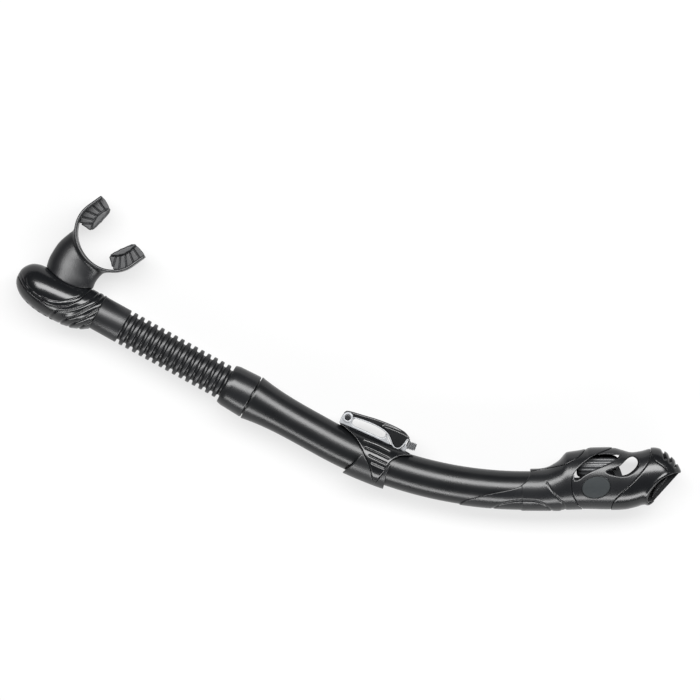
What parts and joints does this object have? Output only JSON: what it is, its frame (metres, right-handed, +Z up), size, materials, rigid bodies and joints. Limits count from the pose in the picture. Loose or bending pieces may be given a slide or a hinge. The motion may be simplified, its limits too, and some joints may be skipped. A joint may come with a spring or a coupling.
{
  "type": "dry snorkel",
  "caption": "Dry-top snorkel: bitten mouthpiece on a purge chamber, corrugated bending hose, curved tube with a mask strap keeper, and a float valve that shuts the inlet.",
  "frame": {"origin": "centre of the bounding box in X and Y, at the surface the snorkel lies on", "axes": "+X along the straight hose axis from the purge chamber towards the dry top; +Y to the hollow side of the bend, where the mouthpiece and strap keeper are; +Z up, square to the snorkel's middle plane"},
  "size_m": [0.4382, 0.1174, 0.0359],
  "materials": {
    "black_gloss_plastic": "glossy",
    "black_satin_plastic": "satin",
    "charcoal_silicone": "satin",
    "silver_grey_plastic": "glossy",
    "stainless_pin": "polished",
    "float_plastic": "satin"
  },
  "bodies": {
    "tube": {"main_tube": "black_gloss_plastic", "hose_collar": "black_satin_plastic", "hose_top_cuff": "charcoal_silicone", "sleeve_skirt": "black_satin_plastic", "dry_top_sleeve": "black_satin_plastic", "bulkhead": "black_satin_plastic", "cage_shell": "black_satin_plastic", "badges": "black_satin_plastic", "nose_shell": "black_gloss_plastic", "flap_pin": "stainless_pin"},
    "ring_01": {"hose_ring_01": "charcoal_silicone"},
    "ring_02": {"hose_ring_02": "charcoal_silicone"},
    "ring_03": {"hose_ring_03": "charcoal_silicone"},
    "ring_04": {"hose_ring_04": "charcoal_silicone"},
    "ring_05": {"hose_ring_05": "charcoal_silicone"},
    "ring_06": {"hose_ring_06": "charcoal_silicone"},
    "ring_07": {"hose_ring_07": "charcoal_silicone"},
    "ring_08": {"hose_ring_08": "charcoal_silicone"},
    "ring_09": {"hose_ring_09": "charcoal_silicone"},
    "ring_10": {"hose_ring_10": "charcoal_silicone"},
    "ring_11": {"hose_ring_11": "charcoal_silicone"},
    "ring_12": {"hose_ring_12": "charcoal_silicone"},
    "ring_13": {"hose_ring_13": "charcoal_silicone"},
    "ring_14": {"hose_ring_14": "charcoal_silicone"},
    "ring_15": {"hose_ring_15": "charcoal_silicone"},
    "cuff": {"hose_bottom_cuff": "charcoal_silicone"},
    "chamber": {"chamber_body": "black_gloss_plastic", "chamber_cover": "black_satin_plastic", "purge_seat": "black_satin_plastic", "purge_gasket": "charcoal_silicone", "mouthpiece": "charcoal_silicone", "mouthpiece_lock_ring": "black_satin_plastic"},
    "purge": {"purge_valve": "charcoal_silicone"},
    "keeper": {"keeper_band": "charcoal_silicone", "keeper_saddle": "black_gloss_plastic", "strap_frame": "silver_grey_plastic", "keeper_pin": "stainless_pin", "latch_pin": "stainless_pin"},
    "gate": {"keeper_gate": "black_gloss_plastic"},
    "latch": {"keeper_latch": "black_satin_plastic"},
    "float": {"float_body": "float_plastic"},
    "flap": {"flap_lever": "black_satin_plastic", "flap_seal": "charcoal_silicone"}
  },
  "joints": [
    {"name": "hose_bend_01", "type": "hinge", "parent": "tube", "child": "ring_01", "pos_m": [-0.0684, -0.04027, 0.01797], "axis": [0, 0, -1], "range_deg": [-5.62, 5.62], "stiffness_Nm_per_rad": 1.2},
    {"name": "hose_bend_02", "type": "hinge", "parent": "ring_01", "child": "ring_02", "pos_m": [-0.07334, -0.04027, 0.01797], "axis": [0, 0, -1], "range_deg": [-5.62, 5.62], "stiffness_Nm_per_rad": 1.2},
    {"name": "hose_bend_03", "type": "hinge", "parent": "ring_02", "child": "ring_03", "pos_m": [-0.07828, -0.04027, 0.01797], "axis": [0, 0, -1], "range_deg": [-5.62, 5.62], "stiffness_Nm_per_rad": 1.2},
    {"name": "hose_bend_04", "type": "hinge", "parent": "ring_03", "child": "ring_04", "pos_m": [-0.08322, -0.04027, 0.01797], "axis": [0, 0, -1], "range_deg": [-5.62, 5.62], "stiffness_Nm_per_rad": 1.2},
    {"name": "hose_bend_05", "type": "hinge", "parent": "ring_04", "child": "ring_05", "pos_m": [-0.08816, -0.04027, 0.01797], "axis": [0, 0, -1], "range_deg": [-5.62, 5.62], "stiffness_Nm_per_rad": 1.2},
    {"name": "hose_bend_06", "type": "hinge", "parent": "ring_05", "child": "ring_06", "pos_m": [-0.0931, -0.04027, 0.01797], "axis": [0, 0, -1], "range_deg": [-5.62, 5.62], "stiffness_Nm_per_rad": 1.2},
    {"name": "hose_bend_07", "type": "hinge", "parent": "ring_06", "child": "ring_07", "pos_m": [-0.09804, -0.04027, 0.01797], "axis": [0, 0, -1], "range_deg": [-5.62, 5.62], "stiffness_Nm_per_rad": 1.2},
    {"name": "hose_bend_08", "type": "hinge", "parent": "ring_07", "child": "ring_08", "pos_m": [-0.10298, -0.04027, 0.01797], "axis": [0, 0, -1], "range_deg": [-5.62, 5.62], "stiffness_Nm_per_rad": 1.2},
    {"name": "hose_bend_09", "type": "hinge", "parent": "ring_08", "child": "ring_09", "pos_m": [-0.10792, -0.04027, 0.01797], "axis": [0, 0, -1], "range_deg": [-5.62, 5.62], "stiffness_Nm_per_rad": 1.2},
    {"name": "hose_bend_10", "type": "hinge", "parent": "ring_09", "child": "ring_10", "pos_m": [-0.11286, -0.04027, 0.01797], "axis": [0, 0, -1], "range_deg": [-5.62, 5.62], "stiffness_Nm_per_rad": 1.2},
    {"name": "hose_bend_11", "type": "hinge", "parent": "ring_10", "child": "ring_11", "pos_m": [-0.1178, -0.04027, 0.01797], "axis": [0, 0, -1], "range_deg": [-5.62, 5.62], "stiffness_Nm_per_rad": 1.2},
    {"name": "hose_bend_12", "type": "hinge", "parent": "ring_11", "child": "ring_12", "pos_m": [-0.12274, -0.04027, 0.01797], "axis": [0, 0, -1], "range_deg": [-5.62, 5.62], "stiffness_Nm_per_rad": 1.2},
    {"name": "hose_bend_13", "type": "hinge", "parent": "ring_12", "child": "ring_13", "pos_m": [-0.12768, -0.04027, 0.01797], "axis": [0, 0, -1], "range_deg": [-5.62, 5.62], "stiffness_Nm_per_rad": 1.2},
    {"name": "hose_bend_14", "type": "hinge", "parent": "ring_13", "child": "ring_14", "pos_m": [-0.13262, -0.04027, 0.01797], "axis": [0, 0, -1], "range_deg": [-5.62, 5.62], "stiffness_Nm_per_rad": 1.2},
    {"name": "hose_bend_15", "type": "hinge", "parent": "ring_14", "child": "ring_15", "pos_m": [-0.13756, -0.04027, 0.01797], "axis": [0, 0, -1], "range_deg": [-5.62, 5.62], "stiffness_Nm_per_rad": 1.2},
    {"name": "hose_bend_16", "type": "hinge", "parent": "ring_15", "child": "cuff", "pos_m": [-0.1425, -0.04027, 0.01797], "axis": [0, 0, -1], "range_deg": [-5.62, 5.62], "stiffness_Nm_per_rad": 1.2},
    {"name": "chamber_swivel", "type": "hinge", "parent": "cuff", "child": "chamber", "pos_m": [-0.15848, -0.04027, 0.01797], "axis": [1, 0, 0], "continuous": true},
    {"name": "purge_lift", "type": "slide", "parent": "chamber", "child": "purge", "axis": [0, -1, 0], "range_m": [0, 0.0016], "stiffness_N_per_m": 60},
    {"name": "keeper_slide", "type": "hinge", "parent": "tube", "child": "keeper", "pos_m": [0.00632, 0.22753, 0.01797], "axis": [0, 0, 1], "range_deg": [-2.5, 9]},
    {"name": "gate_hinge", "type": "hinge", "parent": "keeper", "child": "gate", "pos_m": [0.0125, -0.02125, 0.01797], "axis": [0, 0, 1], "range_deg": [0, 75]},
    {"name": "latch_release", "type": "hinge", "parent": "keeper", "child": "latch", "pos_m": [0.05445, -0.02023, 0.01797], "axis": [0, 0, -1], "range_deg": [0, 20], "stiffness_Nm_per_rad": 0.02},
    {"name": "float_slide", "type": "slide", "parent": "tube", "child": "float", "axis": [0.8746, 0.4848, 0], "range_m": [0, 0.00886]},
    {"name": "flap_hinge", "type": "hinge", "parent": "tube", "child": "flap", "pos_m": [0.18795, 0.02876, 0.01797], "axis": [0, 0, -1], "range_deg": [0, 50.01]}
  ],
  "couplings": [
    {"joint": "hose_bend_01", "follows": "hose_bend_16", "ratio": 1},
    {"joint": "hose_bend_02", "follows": "hose_bend_16", "ratio": 1},
    {"joint": "hose_bend_03", "follows": "hose_bend_16", "ratio": 1},
    {"joint": "hose_bend_04", "follows": "hose_bend_16", "ratio": 1},
    {"joint": "hose_bend_05", "follows": "hose_bend_16", "ratio": 1},
    {"joint": "hose_bend_06", "follows": "hose_bend_16", "ratio": 1},
    {"joint": "hose_bend_07", "follows": "hose_bend_16", "ratio": 1},
    {"joint": "hose_bend_08", "follows": "hose_bend_16", "ratio": 1},
    {"joint": "hose_bend_09", "follows": "hose_bend_16", "ratio": 1},
    {"joint": "hose_bend_10", "follows": "hose_bend_16", "ratio": 1},
    {"joint": "hose_bend_11", "follows": "hose_bend_16", "ratio": 1},
    {"joint": "hose_bend_12", "follows": "hose_bend_16", "ratio": 1},
    {"joint": "hose_bend_13", "follows": "hose_bend_16", "ratio": 1},
    {"joint": "hose_bend_14", "follows": "hose_bend_16", "ratio": 1},
    {"joint": "hose_bend_15", "follows": "hose_bend_16", "ratio": 1},
    {"joint": "flap_hinge", "follows": "float_slide", "rad_per_m": 98.497}
  ]
}
